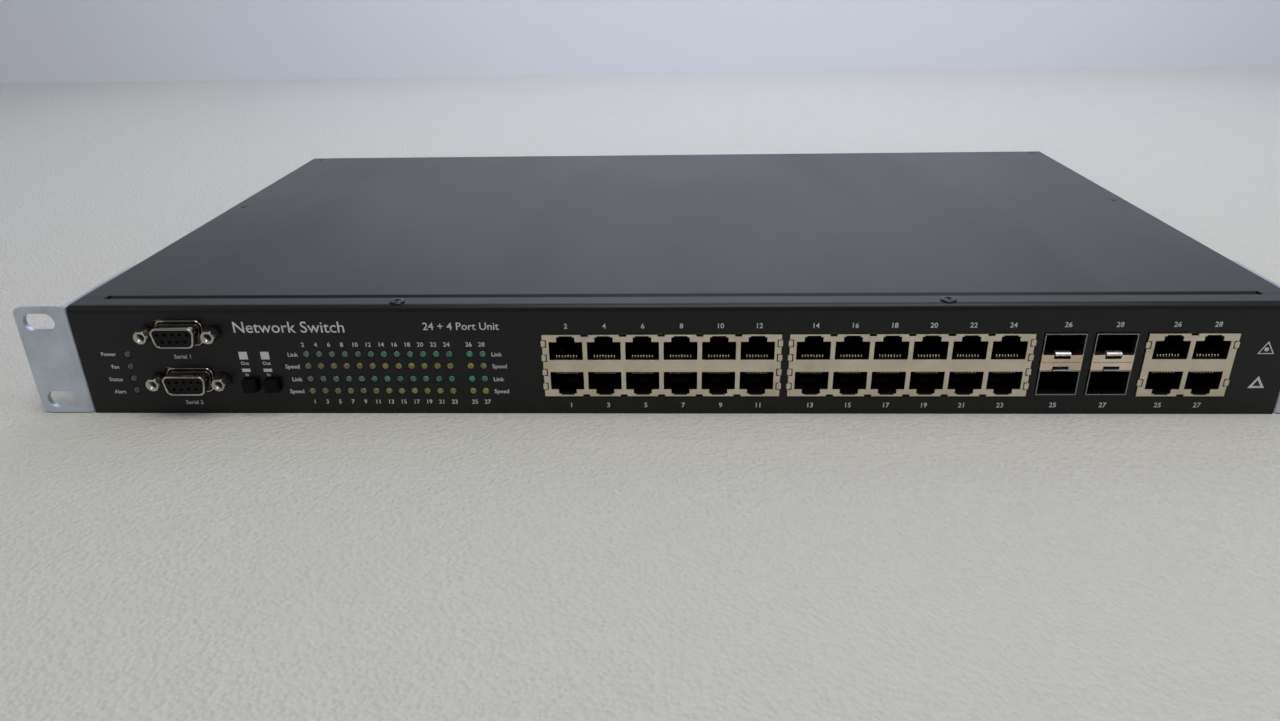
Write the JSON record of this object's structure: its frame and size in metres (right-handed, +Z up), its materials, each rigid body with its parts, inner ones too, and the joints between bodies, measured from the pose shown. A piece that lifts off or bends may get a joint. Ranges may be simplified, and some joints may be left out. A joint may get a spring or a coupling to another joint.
{
  "type": "rackmount network switch",
  "caption": "Rackmount network switch: flat folded steel case with slotted ears, stacked network sockets, transceiver slots, serial sockets, indicator lights, push buttons and rear fans.",
  "frame": {"origin": "centre of the chassis underside", "axes": "+X right as seen from the front, +Y back, +Z up; the front panel faces -Y"},
  "size_m": [0.4826, 0.2682, 0.0444],
  "materials": {
    "black_paint": "satin",
    "zinc_plate": "satin",
    "zinc_screw": "satin",
    "black_screw": "satin",
    "tinned_shield": "satin",
    "black_plastic": "matte",
    "gold_contact": "polished",
    "cage_steel": "satin",
    "green_lens": "clear tint",
    "yellow_lens": "clear tint",
    "circuit_board": "satin",
    "button_plastic": "satin",
    "brass_post": "satin",
    "aluminium_sink": "satin",
    "aluminium_can": "satin",
    "ferrite": "matte",
    "wire_jacket": "satin",
    "inlet_plastic": "matte",
    "fan_plastic": "satin",
    "guard_wire": "polished"
  },
  "bodies": {
    "chassis": {"alarm_port_insert": "black_plastic", "alarm_port_shell": "tinned_shield", "base_tray": "black_paint", "board_capacitors": "aluminium_can", "board_screws": "zinc_screw", "board_standoffs": "brass_post", "cage_connectors": "black_plastic", "cage_latch_lips": "cage_steel", "chip_heatsinks": "aluminium_sink", "console_port_insert": "black_plastic", "console_port_shell": "tinned_shield", "display_board": "circuit_board", "fan_1_frame": "fan_plastic", "fan_2_frame": "fan_plastic", "fan_guards": "guard_wire", "fan_screws": "black_screw", "front_panel": "black_paint", "ground_stud": "brass_post", "inlet_pins": "zinc_screw", "inlet_screws": "black_screw", "left_rack_ear": "zinc_plate", "left_transceiver_cage": "cage_steel", "lid_screws": "black_screw", "link_leds": "green_lens", "main_board": "circuit_board", "port_contacts_a": "gold_contact", "port_contacts_b": "gold_contact", "port_contacts_combo": "gold_contact", "port_dividers": "black_plastic", "port_housings_a": "black_plastic", "port_housings_b": "black_plastic", "port_housings_combo": "black_plastic", "port_shield_a": "tinned_shield", "port_shield_b": "tinned_shield", "port_shield_combo": "tinned_shield", "port_transformers": "black_plastic", "power_board": "circuit_board", "power_capacitors": "aluminium_can", "power_heatsink": "aluminium_sink", "power_inlet": "inlet_plastic", "power_transformer": "ferrite", "push_switches": "black_plastic", "rack_ear_screws": "zinc_screw", "rear_panel": "black_paint", "rear_side_screws": "black_screw", "right_rack_ear": "zinc_plate", "right_transceiver_cage": "cage_steel", "serial_jack_nuts": "zinc_screw", "serial_lock_washers": "zinc_screw", "speed_leds": "yellow_lens", "status_board": "circuit_board", "status_leds": "green_lens", "strip_screws": "black_screw", "supply_wires": "wire_jacket", "switch_chips": "black_plastic", "top_cover": "black_paint"},
    "role_button": {"role_button": "button_plastic"},
    "uplink_button": {"uplink_button": "button_plastic"},
    "fan_1_rotor": {"fan_1_rotor": "fan_plastic"},
    "fan_2_rotor": {"fan_2_rotor": "fan_plastic"}
  },
  "joints": [
    {"name": "role_button_press", "type": "slide", "parent": "chassis", "child": "role_button", "axis": [0, 1, 0], "range_m": [0, 0.002], "stiffness_N_per_m": 800, "springref_m": -0.0005},
    {"name": "uplink_button_press", "type": "slide", "parent": "chassis", "child": "uplink_button", "axis": [0, 1, 0], "range_m": [0, 0.002], "stiffness_N_per_m": 800, "springref_m": -0.0005},
    {"name": "fan_1_spin", "type": "hinge", "parent": "chassis", "child": "fan_1_rotor", "pos_m": [-0.165, 0.11598, 0.0216], "axis": [0, 1, 0], "continuous": true},
    {"name": "fan_2_spin", "type": "hinge", "parent": "chassis", "child": "fan_2_rotor", "pos_m": [-0.112, 0.11598, 0.0216], "axis": [0, 1, 0], "continuous": true}
  ]
}
